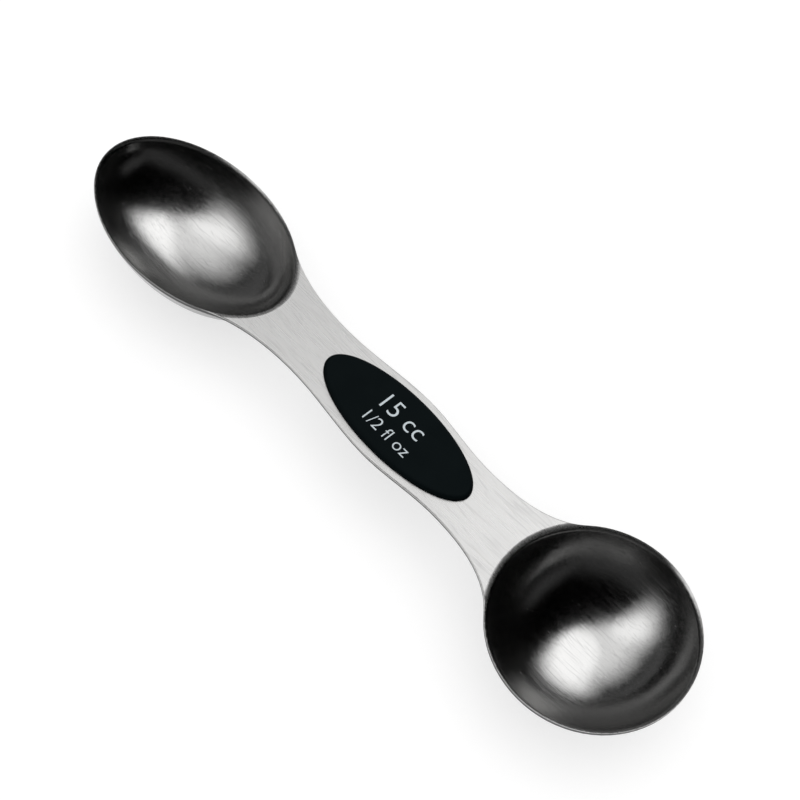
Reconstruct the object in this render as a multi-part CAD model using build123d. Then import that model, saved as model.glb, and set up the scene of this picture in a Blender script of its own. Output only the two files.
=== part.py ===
"""Double-ended magnetic measuring spoon: a steel blank with a round and an oval bowl, and its moulded insert.

Lengths are in millimetres. X runs along the spoon towards the round bowl, Y across it and Z up.
The origin is under the middle of the spoon's length, on the surface that both bowls stand on.
"""
from build123d import *
import math
import os

os.makedirs("parts", exist_ok=True)

# Sheet that the blank is stamped from, and the rounding of its trimmed edge
sheet = 0.9
edge_round = 0.35

# Bowls: a wall drawn as a ball from a flat foot, and a bend that turns it out into the handle's plane.
# The flange round the bowls is trimmed inside that bend. The inset is how far inside the trimmed rim
# the wall would meet the handle's plane if there were no bend.
bend = 1.7
wall_inset = 0.55
bowl_depth = 15.0
bowl_spacing = 132.0
round_radius = 23.2
round_foot = 2.5
oval_half_length = 29.8
oval_half_width = 18.65
oval_foot = 0.4
foot_trim = 0.03

# Where the handle's sides leave the rims, as angles round each bowl from the handle
oval_join_angle = 48.0
round_join_angle = 42.5

# Handle: two waists, with a swelling between them that carries the insert
insert_from_oval = 70.7
swelling_half = 10.25
oval_waist_reach = 25.5
oval_waist_half = 8.35
round_waist_reach = 21.1
round_waist_half = 8.4

# Insert: two moulded caps that clamp the blank through an oval hole
cap_half_length = 22.8
cap_half_width = 8.45
cap_height = 1.1
cap_edge_round = 0.95
cap_overlap = 1.6
spigot_clearance = 0.1

# Pins of the back cap, pressed into sockets in the front cap
pin_radius = 1.0
pin_length = 0.8
pin_spread = 13.0
socket_clearance = 0.05

# Magnet disc, sealed between the caps
magnet_radius = 5.0
magnet_thickness = 1.5
magnet_edge_round = 0.15
magnet_clearance = 0.1

# How far a cut runs past what it cuts, and the flange of the drawn sheet that is trimmed away
overrun = 1.0
flange = 5.0

# Places that follow from the sizes above
rim_height = bowl_depth + sheet
underside_height = rim_height - sheet
middle_height = rim_height - sheet / 2
half_length = (oval_half_length + bowl_spacing + round_radius) / 2
oval_x = oval_half_length - half_length
round_x = half_length - round_radius
insert_x = oval_x + insert_from_oval


def drawn_cup(span, foot, offset):
    """Turned solid under one face of a bowl's sheet, and its half width at the handle's plane.

    span is from the axis to the inner wall at that plane, as if there were no bend. offset is 0 for the inner
    face, or the sheet for the outer one.
    """
    run = span - foot
    ball = (run**2 + bowl_depth**2) / (2 * bowl_depth)
    ball_level = ball - bowl_depth
    slope = math.degrees(math.asin(ball_level / (ball + offset)))
    wall = CenterArc((foot, ball_level), ball + offset, start_angle=-90, arc_size=90 - slope)
    bottom = (0, -bowl_depth - offset)
    section = Curve() + [Line(bottom, wall @ 0), wall, Line(wall @ 1, (0, 0)), Line((0, 0), bottom)]
    return revolve(Plane.XZ * make_face(section), Axis.Z), (wall @ 1).X


def round_bowl():
    """Outer body and cavity of the round bowl, in place. The body is a little low, which makes the flat foot."""
    body, body_span = drawn_cup(round_radius - wall_inset, round_foot, sheet)
    cavity, cavity_span = drawn_cup(round_radius - wall_inset, round_foot, 0)
    return Pos(round_x, 0, rim_height - foot_trim) * body, Pos(round_x, 0, rim_height) * cavity


def oval_bowl():
    """Outer body and cavity of the oval bowl, in place: stretched so that the wall keeps its thickness."""
    body, body_span = drawn_cup(oval_half_width - wall_inset, oval_foot, sheet)
    cavity, cavity_span = drawn_cup(oval_half_width - wall_inset, oval_foot, 0)
    long_span = oval_half_length - wall_inset
    body_stretch = (long_span + body_span - cavity_span) / body_span
    cavity_stretch = long_span / cavity_span
    body = scale(body, by=(body_stretch, 1, 1))
    cavity = scale(cavity, by=(cavity_stretch, 1, 1))
    return Pos(oval_x, 0, rim_height - foot_trim) * body, Pos(oval_x, 0, rim_height) * cavity


def mouth_edges(shape):
    """Level curved edges in groups, from the feet up. The last two are the mouths, under and over the sheet."""
    return shape.edges().filter_by(Plane.XY).filter_by(GeomType.LINE, reverse=True).group_by(Axis.Z)


def drawn_sheet():
    """The sheet with both bowls drawn into it, before its flange is trimmed: one bend runs round each mouth."""
    strip = Pos(0, 0, middle_height) * Box(2 * (half_length + flange), 2 * (round_radius + flange), sheet)
    round_body, round_cavity = round_bowl()
    oval_body, oval_cavity = oval_bowl()
    drawn = strip + round_body + oval_body - round_cavity - oval_cavity
    drawn = fillet(mouth_edges(drawn)[-2], bend - sheet)
    return fillet(mouth_edges(drawn)[-1], bend)


def blank_outline():
    """Trimmed outline of the blank, seen from above."""
    round_sweep = 180 - round_join_angle
    oval_sweep = 180 - oval_join_angle
    round_rim = CenterArc((round_x, 0), round_radius, start_angle=-round_sweep, arc_size=2 * round_sweep)
    oval_rim = EllipticalCenterArc(
        (oval_x, 0), oval_half_length, oval_half_width, start_angle=oval_join_angle, arc_size=2 * oval_sweep
    )
    along = Vector(1, 0)
    upper_side = Spline(
        oval_rim @ 0,
        (insert_x - oval_waist_reach, oval_waist_half),
        (insert_x, swelling_half),
        (insert_x + round_waist_reach, round_waist_half),
        round_rim @ 1,
        tangents=[-(oval_rim % 0), along, along, along, -(round_rim % 1)],
    )
    lower_side = mirror(upper_side, about=Plane.XZ)
    return make_face(Curve() + [upper_side, round_rim, lower_side, oval_rim])


def insert_ellipse(inset):
    """Ellipse of the insert at its place on the handle, drawn in from the cap's edge."""
    return Pos(insert_x, 0) * Ellipse(cap_half_length - inset, cap_half_width - inset)


def prism(sketch, low, high):
    """Straight solid on a flat shape, from one height to another."""
    return extrude(Pos(0, 0, low) * sketch, amount=high - low)


def spoon_blank():
    """One stamped and drawn piece of steel: the handle, both bowls and the hole for the insert."""
    trim = prism(blank_outline(), -overrun, rim_height)
    trim = fillet(trim.faces().sort_by(Axis.Z)[-1].edges(), edge_round)
    hole = prism(insert_ellipse(cap_overlap), underside_height - overrun, rim_height + overrun)
    blank = drawn_sheet() & trim
    return split(blank - hole, Plane.XY, keep=Keep.TOP)


def plain_cap():
    """Front half of the insert without its sockets: a plate on the handle and a spigot in the hole."""
    plate = prism(insert_ellipse(0), rim_height, rim_height + cap_height)
    plate = fillet(plate.faces().sort_by(Axis.Z)[-1].edges(), cap_edge_round)
    spigot = prism(insert_ellipse(cap_overlap + spigot_clearance), middle_height, rim_height)
    pocket_depth = magnet_thickness / 2 + magnet_clearance
    pocket = Pos(insert_x, 0) * Circle(magnet_radius + magnet_clearance)
    return plate + spigot - prism(pocket, middle_height, middle_height + pocket_depth)


def pin_circles(radius):
    """The two pins' circles, or their sockets', on either side of the magnet."""
    return [Pos(insert_x + side * pin_spread, 0) * Circle(radius) for side in (-1, 1)]


def front_cap():
    """Front half of the insert, with the face that carries the measure's mark."""
    cap = plain_cap()
    for circle in pin_circles(pin_radius + socket_clearance):
        cap -= prism(circle, middle_height, middle_height + pin_length + socket_clearance)
    return cap


def back_cap():
    """Back half of the insert, with the two pins."""
    cap = mirror(plain_cap(), about=Plane.XY.offset(middle_height))
    for circle in pin_circles(pin_radius):
        cap += prism(circle, middle_height - pin_length, middle_height + pin_length)
    return cap


def magnet():
    """Flat disc magnet in the pocket between the caps."""
    low = middle_height - magnet_thickness / 2
    disc = prism(Pos(insert_x, 0) * Circle(magnet_radius), low, low + magnet_thickness)
    return fillet(disc.edges().filter_by(GeomType.CIRCLE), magnet_edge_round)


pieces = {
    "spoon_blank": spoon_blank(),
    "front_cap": front_cap(),
    "back_cap": back_cap(),
    "magnet": magnet(),
}
for name, shape in pieces.items():
    export_step(shape, f"parts/{name}.step")

print("overall length", 2 * half_length, "height", rim_height + cap_height)
print("oval bowl at x", oval_x, "round bowl at x", round_x, "insert at x", insert_x)
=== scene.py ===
# %% [markdown]
# # Dressing a double-ended measuring spoon
#
# The spoon is four real pieces: one stamped steel blank with a round and an oval bowl, the two black halves of
# the insert that clamp it, and a magnet sealed inside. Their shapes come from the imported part. This lesson gives
# them their finishes, prints the measure on the insert, and sets up the studio that the steel reflects.

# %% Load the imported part
import math
import bmesh
import bpy
from mathutils import Matrix, Vector


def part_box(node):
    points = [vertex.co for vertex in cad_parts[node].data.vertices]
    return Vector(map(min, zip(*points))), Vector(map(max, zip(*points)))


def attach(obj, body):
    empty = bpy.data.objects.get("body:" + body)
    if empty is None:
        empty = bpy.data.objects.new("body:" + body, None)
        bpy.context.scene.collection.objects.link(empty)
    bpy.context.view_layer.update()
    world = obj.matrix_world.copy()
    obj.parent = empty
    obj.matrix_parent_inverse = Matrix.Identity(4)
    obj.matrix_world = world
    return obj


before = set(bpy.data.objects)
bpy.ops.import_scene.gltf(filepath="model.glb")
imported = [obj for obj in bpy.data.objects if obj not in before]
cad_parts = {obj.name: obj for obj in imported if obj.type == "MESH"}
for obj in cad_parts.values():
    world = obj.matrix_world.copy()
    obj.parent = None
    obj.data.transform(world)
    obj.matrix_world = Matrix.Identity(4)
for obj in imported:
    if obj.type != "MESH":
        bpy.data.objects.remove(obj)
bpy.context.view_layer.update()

blank_low, blank_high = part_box("spoon_blank")
cap_low, cap_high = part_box("front_cap")
rim_height = blank_high.z
insert_x = (cap_low.x + cap_high.x) / 2
print("nodes", sorted(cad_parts))
print("rim at", round(rim_height * 1000, 2), "mm, insert at", round(insert_x * 1000, 2), "mm")

# %% [markdown]
# ## The camera
#
# The spoon lies across the picture from the upper left to the lower right, seen from above and from its near side.
# A camera is easiest to place by what it looks at: a target on the rim's plane, the direction back towards the
# camera, and a small roll. The lens and distance decide how much larger the near bowl looks than the far one.

# %% Place the camera
azimuth, elevation, roll = math.radians(38.289), math.radians(59.076), math.radians(10.859)
target = Vector((0.003425, 0.005062, rim_height))
distance = 0.35572
back = Vector((
    math.sin(azimuth) * math.cos(elevation),
    -math.cos(azimuth) * math.cos(elevation),
    math.sin(elevation),
))
right = Vector((math.cos(azimuth), math.sin(azimuth), 0))
up = back.cross(right)
rolled_right = right * math.cos(roll) + up * math.sin(roll)
rolled_up = up * math.cos(roll) - right * math.sin(roll)
lens = bpy.data.cameras.new("studio_camera")
lens.sensor_width = 36.0
lens.lens = 72.0
lens.clip_start = 0.01
camera = bpy.data.objects.new("studio_camera", lens)
orientation = Matrix((rolled_right, rolled_up, back)).transposed().to_4x4()
camera.matrix_world = Matrix.Translation(target + back * distance) @ orientation
bpy.context.scene.collection.objects.link(camera)
bpy.context.scene.camera = camera
print("camera at", [round(v, 4) for v in camera.location])

# %% [markdown]
# ## Small helpers for materials
#
# Each finish is a node tree on the Principled shader. These helpers add a node and set its values in one line, so
# that the recipes below read like a list of steps. The white room and the tent use the same ones.

# %% Helpers for node trees
def tools_for(tree):
    """Two functions for a node tree: one adds a node with its values, the other links two sockets."""
    def add(kind, **values):
        node = tree.nodes.new("ShaderNode" + kind)
        for key, value in values.items():
            if key in node.inputs:
                node.inputs[key].default_value = value
            else:
                setattr(node, key, value)
        return node

    return add, tree.links.new


def new_finish(name, colour, metallic, roughness):
    """A material, its Principled shader, and the two functions for its node tree."""
    finish = bpy.data.materials.new(name)
    finish.use_nodes = True
    finish.diffuse_color = (*colour, 1)
    shader = finish.node_tree.nodes["Principled BSDF"]
    shader.inputs["Base Color"].default_value = (*colour, 1)
    shader.inputs["Metallic"].default_value = metallic
    shader.inputs["Roughness"].default_value = roughness
    return finish, shader, *tools_for(finish.node_tree)


def object_noise(add, link, per_metre, detail, turned=0):
    """Noise on the piece's own coordinates, with so many grains per metre along X, Y and Z, turned about Z."""
    place = add("TexCoord")
    mapping = add("Mapping", vector_type="TEXTURE")
    mapping.inputs["Rotation"].default_value = (0, 0, math.radians(turned))
    mapping.inputs["Scale"].default_value = [1 / value for value in per_metre]
    noise = add("TexNoise", Scale=1.0, Detail=detail, Roughness=0.6)
    link(place.outputs["Object"], mapping.inputs["Vector"])
    link(mapping.outputs["Vector"], noise.inputs["Vector"])
    return noise.outputs["Fac"]


def spread(add, link, value, low, high, to_low, to_high):
    """A value mapped from one range to another."""
    node = add("MapRange")
    for key, number in (("From Min", low), ("From Max", high), ("To Min", to_low), ("To Max", to_high)):
        node.inputs[key].default_value = number
    link(value, node.inputs["Value"])
    return node.outputs["Result"]


print("helpers ready")

# %% [markdown]
# ## Satin steel
#
# Stainless spoons are brushed along their length before they are pressed, so fine straight lines run down the
# handle and on through both bowls. The lines blur reflections across them far more than along them. The shader's
# anisotropy does that, turned so that the wide blur lies across the spoon. Noise stretched along X draws
# the lines themselves, in the roughness and in a very small bump.

# %% Brush the steel
steel, shader, add, link = new_finish("satin_steel", (0.615, 0.612, 0.605), 1.0, 0.22)
anisotropy = 0.7
shader.inputs["Anisotropic"].default_value = anisotropy
shader.inputs["Anisotropic Rotation"].default_value = 0.25
grain_direction = add("CombineXYZ", X=1.0, Y=0.0, Z=0.0)
to_world = add("VectorTransform", vector_type="VECTOR", convert_from="OBJECT", convert_to="WORLD")
link(grain_direction.outputs["Vector"], to_world.inputs["Vector"])
link(to_world.outputs["Vector"], shader.inputs["Tangent"])
print("wide blur across the spoon, anisotropy", anisotropy)

# %% Draw the brushed lines
fine = object_noise(add, link, (70, 3200, 3200), detail=2.0)
coarse = object_noise(add, link, (110, 1100, 1100), detail=3.0)
both = add("Mix", data_type="FLOAT", Factor=0.45)
link(fine, both.inputs[2])
link(coarse, both.inputs[3])
lines = both.outputs[0]
faint, strong = 0.3, 0.7
brushed_tone = add("ValToRGB")
brushed_tone.color_ramp.elements[0].position = faint
brushed_tone.color_ramp.elements[0].color = (0.60, 0.597, 0.592, 1)
brushed_tone.color_ramp.elements[1].position = strong
brushed_tone.color_ramp.elements[1].color = (0.66, 0.657, 0.65, 1)
link(lines, brushed_tone.inputs["Fac"])
smoothest, roughest = 0.13, 0.27
brushed_roughness = spread(add, link, lines, faint, strong, smoothest, roughest)
bump = add("Bump", Strength=0.3, Distance=0.00005)
link(lines, bump.inputs["Height"])
link(bump.outputs["Normal"], shader.inputs["Normal"])
print("steel roughness from", smoothest, "to", roughest, "along the brushing")

# %% [markdown]
# Use leaves its own marks over the brushing. Short scratches lie a few degrees off the grain, each the width of a
# hair. They are the peaks of two turned noises, and they scatter light: rougher and a little darker.

# %% Scratch it with use
def scratches(per_metre, turned, low, high):
    """1 in short thin lines and 0 elsewhere: the peaks of a stretched noise, turned by some degrees."""
    return spread(add, link, object_noise(add, link, per_metre, detail=1.0, turned=turned), low, high, 0, 1)


first_turn, second_turn = 3, -8
first_set = scratches((110, 2300, 2300), first_turn, 0.56, 0.74)
second_set = scratches((170, 2600, 2600), second_turn, 0.6, 0.76)
scratched = add("Math", operation="MAXIMUM")
link(first_set, scratched.inputs[0])
link(second_set, scratched.inputs[1])
darker, rougher = 0.24, 0.03
worn_tone = add("Mix", data_type="RGBA")
link(spread(add, link, scratched.outputs[0], 0, 1, 0, darker), worn_tone.inputs["Factor"])
link(brushed_tone.outputs["Color"], worn_tone.inputs[6])
worn_tone.inputs[7].default_value = (0.3, 0.3, 0.3, 1)
worn_roughness = add("Math", operation="ADD")
link(brushed_roughness, worn_roughness.inputs[0])
link(spread(add, link, scratched.outputs[0], 0, 1, 0, rougher), worn_roughness.inputs[1])
print("two sets of scratches, turned", first_turn, "and", second_turn, "degrees off the grain")

# %% [markdown]
# The dies polish the bowls and scuff the handle, so the handle is brushed once more after pressing. Its coarser
# grain scatters part of the light in every direction, and from no side does it look as black as a bowl's wall.
# Only the handle's face and the crest of the rim lie at the top of the steel, so the height of a point tells them.

# %% Brush the handle again
position = add("SeparateXYZ")
link(add("TexCoord").outputs["Object"], position.inputs["Vector"])
handle_low, handle_high = rim_height - 0.0005, rim_height - 0.0001
extra_roughness, metallic_share = 0.09, 0.87
coarser = spread(add, link, position.outputs["Z"], handle_low, handle_high, 0, extra_roughness)
scattered = spread(add, link, position.outputs["Z"], handle_low, handle_high, 1, metallic_share)
link(scattered, shader.inputs["Metallic"])
rebrushed = add("Math", operation="ADD")
link(worn_roughness.outputs[0], rebrushed.inputs[0])
link(coarser, rebrushed.inputs[1])
print("coarser grain from", round((rim_height - handle_high) * 1000, 2), "mm under the rim's height upwards")

# %% [markdown]
# The outside is brushed less finely than the inside, and comes out duller. Its colour is also darkened as painted
# shade, so that the downward faces reflect the white floor less brightly. It is every face that looks downwards, so
# the normal alone picks it out.

# %% Paint shade on the outside and leave it duller
facing = add("SeparateXYZ")
link(add("TexCoord").outputs["Normal"], facing.inputs["Vector"])
outside = spread(add, link, facing.outputs["Z"], -0.12, 0.04, 1, 0)
# Painted shade: every downward face is darkened to this share of the steel's colour.
painted_shade_tint, outside_roughness = (0.72, 0.72, 0.73), 0.08
painted_shade_outside = add("Mix", data_type="RGBA", blend_type="MULTIPLY")
link(outside, painted_shade_outside.inputs["Factor"])
link(worn_tone.outputs[2], painted_shade_outside.inputs[6])
painted_shade_outside.inputs[7].default_value = (*painted_shade_tint, 1)
dull_outside = add("Math", operation="MULTIPLY_ADD")
link(outside, dull_outside.inputs[0])
dull_outside.inputs[1].default_value = outside_roughness
link(rebrushed.outputs[0], dull_outside.inputs[2])
print("outside keeps", painted_shade_tint, "of the steel's colour, and is rougher by", outside_roughness)

# %% [markdown]
# The brush never reaches the edge that the press sheared. That face is duller than the rest, and its colour is
# darkened to a dark grey as painted shade, which draws the thin dark line round the whole spoon. It is the only
# face near the rim's level that stands upright, so the material can tell it from the brushed faces by its normal
# and its height.

# %% Leave the sheared edge dull, with painted shade
steepness = add("Math", operation="ABSOLUTE")
link(facing.outputs["Z"], steepness.inputs[0])
upright = spread(add, link, steepness.outputs[0], 0.08, 0.28, 1, 0)
edge_low, edge_high = rim_height - 0.0014, rim_height - 0.00125
near_rim = spread(add, link, position.outputs["Z"], edge_low, edge_high, 0, 1)
sheared = add("Math", operation="MULTIPLY")
link(upright, sheared.inputs[0])
link(near_rim, sheared.inputs[1])
# Painted shade: the sheared edge is darkened to a dark grey, the thin outline round the spoon. Its dullness is
# real.
edge_painted_shade = add("Mix", data_type="RGBA")
link(sheared.outputs[0], edge_painted_shade.inputs["Factor"])
link(painted_shade_outside.outputs[2], edge_painted_shade.inputs[6])
edge_painted_shade.inputs[7].default_value = (0.16, 0.16, 0.16, 1)
link(edge_painted_shade.outputs[2], shader.inputs["Base Color"])
dullness = add("Mix", data_type="FLOAT")
link(sheared.outputs[0], dullness.inputs["Factor"])
link(dull_outside.outputs[0], dullness.inputs[2])
dullness.inputs[3].default_value = 0.5
link(dullness.outputs[0], shader.inputs["Roughness"])
print("sheared edge is dull down to", round((rim_height - edge_high) * 1000, 2), "mm under the rim")

# %% [markdown]
# ## Black moulding
#
# The insert is moulded plastic with a fine spark-eroded texture: nearly black with a trace of blue-green, and dull.
# A small even grain in the bump breaks up the highlight, and a slow noise keeps the gloss from looking uniform.

# %% Mould the insert
moulding, shader, add, link = new_finish("black_moulding", (0.002, 0.0035, 0.004), 0.0, 0.45)
shader.inputs["Specular IOR Level"].default_value = 0.05
shader.inputs["Specular Tint"].default_value = (0.7, 0.95, 1, 1)
grain = object_noise(add, link, (9000, 9000, 9000), detail=2.0)
cloud = object_noise(add, link, (120, 120, 120), detail=2.0)
glossiest, dullest = 0.44, 0.54
link(spread(add, link, cloud, 0.35, 0.65, glossiest, dullest), shader.inputs["Roughness"])
bump = add("Bump", Strength=0.12, Distance=0.00003)
link(grain, bump.inputs["Height"])
link(bump.outputs["Normal"], shader.inputs["Normal"])
print("moulding roughness from", glossiest, "to", dullest)

# %% [markdown]
# ## Nickel plating
#
# The magnet can't be seen in the finished spoon, but it is a piece of its own and gets its own finish: bright
# nickel with the slight unevenness of barrel plating.

# %% Plate the magnet
nickel, shader, add, link = new_finish("magnet_plating", (0.6, 0.6, 0.61), 1.0, 0.2)
mottle = object_noise(add, link, (900, 900, 900), detail=3.0)
brightest, cloudiest = 0.16, 0.28
link(spread(add, link, mottle, 0.35, 0.65, brightest, cloudiest), shader.inputs["Roughness"])
print("plating roughness from", brightest, "to", cloudiest)

# %% [markdown]
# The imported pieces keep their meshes, and only their materials are set. The two halves of the insert come out of
# the same moulding tool, so they share one finish.

# %% Give each piece its finish
for node, finish in (("spoon_blank", steel), ("front_cap", moulding), ("back_cap", moulding), ("magnet", nickel)):
    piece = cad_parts[node]
    piece.data.materials.clear()
    piece.data.materials.append(finish)
    print(node, len(piece.data.polygons), "faces in", finish.name)

# %% [markdown]
# ## The printed measure
#
# A measuring spoon has to say how much it holds. Pad printing lays a film of pale ink on the flat top of the
# insert, far thinner than a hair. Text objects give clean letters: each is turned into a mesh, and then set down
# on the insert, a large line for the metric measure and a small one below it.

# %% Mix the ink
ink, shader, add, link = new_finish("mark_ink", (0.52, 0.58, 0.61), 0.0, 0.45)
speckle = object_noise(add, link, (5000, 5000, 5000), detail=3.0)
cover = add("ValToRGB")
cover.color_ramp.elements[0].position = 0.3
cover.color_ramp.elements[0].color = (0.38, 0.43, 0.46, 1)
cover.color_ramp.elements[1].position = 0.55
cover.color_ramp.elements[1].color = (0.55, 0.61, 0.64, 1)
link(speckle, cover.inputs["Fac"])
link(cover.outputs["Color"], shader.inputs["Base Color"])
film = 0.00002
print("ink film is", round(film * 1000, 3), "mm thick")


# %% Print the measure
stroke_offset = -0.008
curve_steps = 6
same_point = 1e-5


def printed_line(name, words, digit_height, centre_x, base_y):
    """One line of print, as a mesh on the insert's top, read along the spoon."""
    letters = bpy.data.curves.new(name, "FONT")
    letters.body = words
    letters.align_x = "CENTER"
    letters.offset = stroke_offset
    letters.resolution_u = curve_steps
    holder = bpy.data.objects.new(name + "_letters", letters)
    bpy.context.scene.collection.objects.link(holder)
    bpy.context.view_layer.update()
    shape = bpy.data.meshes.new_from_object(holder.evaluated_get(bpy.context.evaluated_depsgraph_get()))
    bpy.data.objects.remove(holder)
    mesh = bmesh.new()
    mesh.from_mesh(shape)
    bmesh.ops.remove_doubles(mesh, verts=mesh.verts, dist=same_point)
    tall = max(v.co.y for v in mesh.verts)
    size = digit_height / tall
    middle = (max(v.co.x for v in mesh.verts) + min(v.co.x for v in mesh.verts)) / 2
    bmesh.ops.translate(mesh, verts=mesh.verts, vec=(-middle, 0, 0))
    bmesh.ops.scale(mesh, verts=mesh.verts, vec=(size, size, size))
    bmesh.ops.translate(mesh, verts=mesh.verts, vec=(centre_x, base_y, cap_high.z + film))
    mesh.to_mesh(shape)
    mesh.free()
    shape.name = name
    piece = bpy.data.objects.new(name, shape)
    piece.data.materials.clear()
    piece.data.materials.append(ink)
    bpy.context.scene.collection.objects.link(piece)
    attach(piece, "root")
    print(name, len(shape.polygons), "faces,", [round(v * 1000, 2) for v in piece.dimensions], "mm")


printed_line("mark_large", "15 cc", digit_height=0.0043, centre_x=insert_x - 0.0002, base_y=0.00005)
printed_line("mark_small", "1/2 fl oz", digit_height=0.0030, centre_x=insert_x + 0.0003, base_y=-0.0049)

# %% [markdown]
# ## The studio
#
# Steel shows what is around it, so the studio matters as much as the finish. A tent of scrim cloth stands over the
# spoon. One half of it is lit from outside by two tall soft lights and one overhead, whose glow fades out in the
# cloth. The half on the camera's side is left dark, and that is why the far wall of each bowl is nearly black.
# The tent is there for reflections only. The light on the floor and on the plastic comes from plain lamps.
#
# The floor is a sheet of white paper. It glows a little where it is seen, straight or in the steel, so that it
# comes out white and its shadow soft, and that glow gives no light to the spoon.


# %% Tell what is seen from what is lit
def seen_directly(add, link):
    """1 for rays that show a thing itself, straight or in a reflection, and 0 for the light that it gives off."""
    rays = add("LightPath")
    straight = add("Math", operation="MAXIMUM")
    link(rays.outputs["Is Camera Ray"], straight.inputs[0])
    link(rays.outputs["Is Glossy Ray"], straight.inputs[1])
    either = add("Math", operation="MAXIMUM")
    link(straight.outputs[0], either.inputs[0])
    link(rays.outputs["Is Transmission Ray"], either.inputs[1])
    return either.outputs[0]


print("glow of the floor and the room can be told from their light")

# %% Lay the floor
floor_reach = 3.0
floor_mesh = bmesh.new()
bmesh.ops.create_grid(floor_mesh, x_segments=1, y_segments=1, size=floor_reach)
floor_data = bpy.data.meshes.new("floor")
floor_mesh.to_mesh(floor_data)
floor_mesh.free()
floor = bpy.data.objects.new("floor", floor_data)
paper, shader, add, link = new_finish("white_paper", (0.52, 0.52, 0.52), 0.0, 0.9)
shader.inputs["Specular IOR Level"].default_value = 0.0
shader.inputs["Emission Color"].default_value = (1, 1, 1, 1)
paper_glow = 0.55
link(spread(add, link, seen_directly(add, link), 0, 1, 0, paper_glow), shader.inputs["Emission Strength"])
floor.data.materials.append(paper)
bpy.context.scene.collection.objects.link(floor)
print("floor laid, glow", paper_glow)

# %% [markdown]
# Beyond the floor there is only a white room, which is the world's background. It is pure white where it is seen,
# and lights the spoon a little less than that.

# %% Surround it with white
world = bpy.data.worlds.new("studio")
bpy.context.scene.world = world
world.use_nodes = True
add, link = tools_for(world.node_tree)
background = world.node_tree.nodes["Background"]
background.inputs["Color"].default_value = (1, 1, 1, 1)
room_light = 0.88
link(spread(add, link, seen_directly(add, link), 0, 1, room_light, 1.0), background.inputs["Strength"])
print("room is white where it is seen, and gives", room_light, "of light")

# %% [markdown]
# Two square lamps give the light its direction: a key lamp high at the back, and a wide one overhead. Both are
# left out of reflections, because the steel gets its bright patches from the tent.


# %% Hang the lamps
def direction(azimuth_degrees, elevation_degrees):
    """Unit vector towards a place in the studio. Azimuth turns from +X towards +Y."""
    a, e = math.radians(azimuth_degrees), math.radians(elevation_degrees)
    return Vector((math.cos(a) * math.cos(e), math.sin(a) * math.cos(e), math.sin(e)))


def soft_lamp(name, towards, reach, width, radiance):
    """Square lamp that faces the spoon and is left out of reflections, with its brightness given as radiance."""
    lamp = bpy.data.lights.new(name, "AREA")
    lamp.shape = "SQUARE"
    lamp.size = width
    lamp.energy = radiance * math.pi * width * width
    holder = bpy.data.objects.new(name, lamp)
    holder.location = towards * reach
    holder.rotation_euler = towards.to_track_quat("Z", "Y").to_euler()
    holder.visible_glossy = False
    bpy.context.scene.collection.objects.link(holder)
    print(name, "radiance", radiance)


soft_lamp("key_lamp", direction(105, 55), reach=1.2, width=1.2, radiance=0.4)
soft_lamp("overhead_lamp", direction(0, 90), reach=2.0, width=3.0, radiance=0.12)

# %% [markdown]
# ## The tent
#
# The tent is a dome with an emission shader. Its glow is drawn from two angles: the turn round the spoon, and the
# height above the floor. A smooth Map Range makes each soft edge, so there are no corners in the steel. Painting a
# picture on the dome would do as well, but a few edges are easier to move, one at a time, until the bright patches
# in the round bowl have the right shape.

# %% Cut the dome
tent_radius = 2.6
tent_mesh = bmesh.new()
bmesh.ops.create_uvsphere(tent_mesh, u_segments=48, v_segments=24, radius=tent_radius)
bmesh.ops.bisect_plane(
    tent_mesh,
    geom=tent_mesh.verts[:] + tent_mesh.edges[:] + tent_mesh.faces[:],
    plane_co=(0, 0, 0.01),
    plane_no=(0, 0, 1),
    clear_inner=True,
)
tent_data = bpy.data.meshes.new("scrim_tent")
tent_mesh.to_mesh(tent_data)
tent_mesh.free()
tent = bpy.data.objects.new("scrim_tent", tent_data)
bpy.context.scene.collection.objects.link(tent)
for rays in ("camera", "diffuse", "shadow", "transmission", "volume_scatter"):
    setattr(tent, "visible_" + rays, False)
print("dome of", len(tent_data.polygons), "faces, seen only in reflections")

# %% Helpers for the cloth
scrim = bpy.data.materials.new("scrim_cloth")
scrim.use_nodes = True
scrim.node_tree.nodes.remove(scrim.node_tree.nodes["Principled BSDF"])
tent.data.materials.append(scrim)
add, link = tools_for(scrim.node_tree)
glow = add("Emission")
link(glow.outputs["Emission"], scrim.node_tree.nodes["Material Output"].inputs["Surface"])
centred = add("VectorMath", operation="NORMALIZE")
link(add("TexCoord").outputs["Object"], centred.inputs[0])
outward = centred.outputs["Vector"]


def calculate(operation, first, second=None):
    """A Math node on one or two values, each a socket or a number."""
    node = add("Math", operation=operation)
    for socket, value in zip(node.inputs, (first, second)):
        if isinstance(value, (int, float)):
            socket.default_value = value
        elif value is not None:
            link(value, socket)
    return node.outputs[0]


def product(first, *others):
    """All the values multiplied together."""
    for value in others:
        first = calculate("MULTIPLY", first, value)
    return first


def along(towards):
    """How far a point of the tent lies towards a direction, from -1 to 1."""
    node = add("VectorMath", operation="DOT_PRODUCT")
    link(outward, node.inputs[0])
    node.inputs[1].default_value = towards
    return node.outputs["Value"]


def soft_edge(value, dark, bright):
    """0 at the dark end of a range and 1 at the bright end, smooth between them."""
    node = add("MapRange", interpolation_type="SMOOTHSTEP")
    node.inputs["From Min"].default_value = min(dark, bright)
    node.inputs["From Max"].default_value = max(dark, bright)
    node.inputs["To Min"].default_value = 0.0 if dark < bright else 1.0
    node.inputs["To Max"].default_value = 1.0 if dark < bright else 0.0
    link(value, node.inputs["Value"])
    return node.outputs["Result"]


print("cloth ready, not lit yet")

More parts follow.
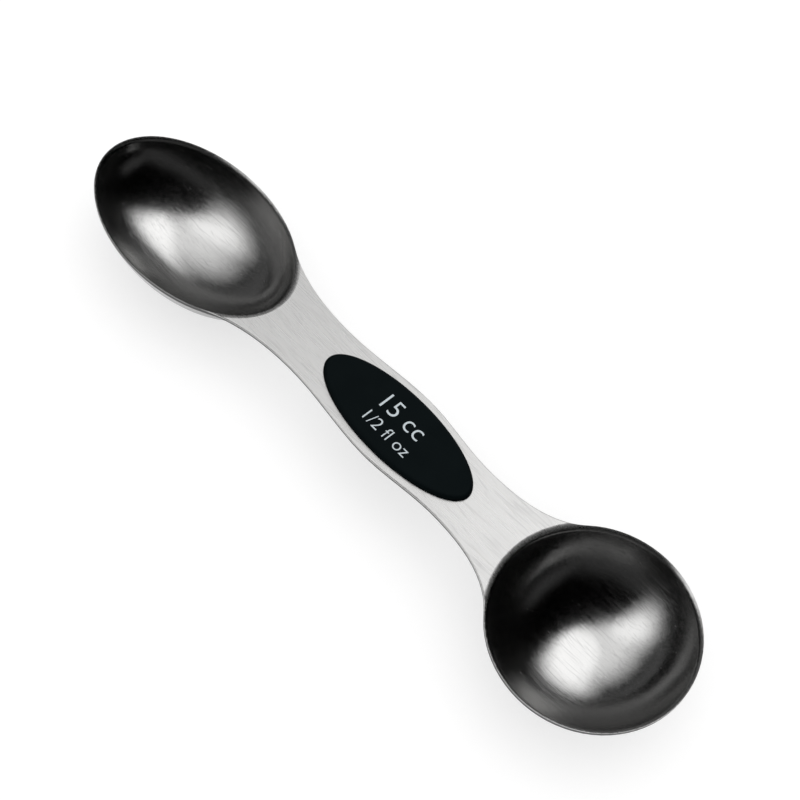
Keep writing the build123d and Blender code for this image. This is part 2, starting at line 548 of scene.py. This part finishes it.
# %% Measure the two angles
lit_side = 165
in_degrees = 180 / math.pi
turn = calculate("ARCTAN2", along(direction(lit_side + 90, 0)), along(direction(lit_side, 0)))
turn_angle = product(turn, in_degrees)
height_angle = product(calculate("ARCSINE", along((0, 0, 1))), in_degrees)


def leaning_turn(lean, level):
    """Turn angle that slides with the height, for an edge that leans. lean is in degrees per degree."""
    slide = product(calculate("SUBTRACT", height_angle, level), lean)
    return calculate("ADD", turn_angle, slide)


print("turn counted from", lit_side, "degrees, height from the floor")

# %% [markdown]
# Two tall lights stand at the sides of the lit half, and a broad one hangs over it. Each tall light is bounded by
# two sides and a lower end. Some of those sides lean, and that gives the patch in the round bowl its fan shape.


# %% Light the lit half
def strip(inner_edge, outer_edge, lowest_edge, radiance):
    """Tall soft light, bounded by two sides, its lower end and the top of the tent."""
    return product(inner_edge, outer_edge, lowest_edge, soft_edge(height_angle, 92, 72), radiance)


left_radiance, right_radiance = 1.55, 1.4
left_strip = strip(
    soft_edge(turn_angle, -24, -52),
    soft_edge(leaning_turn(0.4, 60), -104, -76),
    soft_edge(height_angle, 4, 46),
    left_radiance,
)
right_strip = strip(
    soft_edge(leaning_turn(0.6, 50), 12, 58),
    soft_edge(turn_angle, 98, 68),
    soft_edge(height_angle, 5, 48),
    right_radiance,
)
lit_half = soft_edge(along(direction(lit_side - 5, 20)), 0.205, 0.485)
overhead = product(soft_edge(height_angle, 27, 66), lit_half)
lights_on = calculate("MAXIMUM", calculate("MAXIMUM", left_strip, right_strip), overhead)
print("strips of radiance", left_radiance, "and", right_radiance, "and one overhead of 1")

# %% [markdown]
# The rest of the cloth isn't quite dark. It glows faintly near the floor on two sides, and a thin streak of light
# crosses the dark half. The walls of the bowls show these close under the rim, where they would be flat black.

# %% Let a little light into the rest
low_band = soft_edge(height_angle, 42, 20)
front_glow = product(low_band, soft_edge(along(direction(-70, 0)), 0.45, 0.85), 0.04)
back_glow = product(low_band, soft_edge(along(direction(172, 0)), 0.5, 0.9), 0.08)
streak_band = product(soft_edge(height_angle, 13, 24), soft_edge(height_angle, 38, 28))
streak = product(streak_band, soft_edge(along(direction(8, 0)), 0.72, 0.88), 0.04)
lit = calculate("MAXIMUM", lights_on, back_glow)
whole_glow = calculate("ADD", lit, calculate("ADD", front_glow, streak))
print("glow near the floor and one streak")

# %% [markdown]
# Inside a bowl, steel also reflects steel. A brushed wall scatters more light at each meeting than the shader does,
# so the cloth is dimmer for rays that have met the steel before. The left light is the exception: it is dimmer
# still at the second meeting, but whole again from the third on, where the lower wall of the bowl shows it.

# %% Dim the repeated reflections
meetings = add("LightPath").outputs["Glossy Depth"]
once = calculate("LESS_THAN", meetings, 1.5)
thrice = calculate("GREATER_THAN", meetings, 2.5)
near_left_light = soft_edge(along(direction(68, 58)), 0.9, 0.97)
repeated_share, second_loss = 0.21, 0.14
exception = product(near_left_light, calculate("SUBTRACT", thrice, second_loss))
repeated = product(calculate("SUBTRACT", 1.0, once), calculate("ADD", exception, repeated_share))
link(product(whole_glow, calculate("ADD", once, repeated)), glow.inputs["Strength"])
print("repeated reflections keep", repeated_share, "of the glow")

# %% [markdown]
# ## Finish
#
# The Standard view shows each colour as it is written.

# %% Finish
bpy.context.scene.view_settings.view_transform = "Standard"
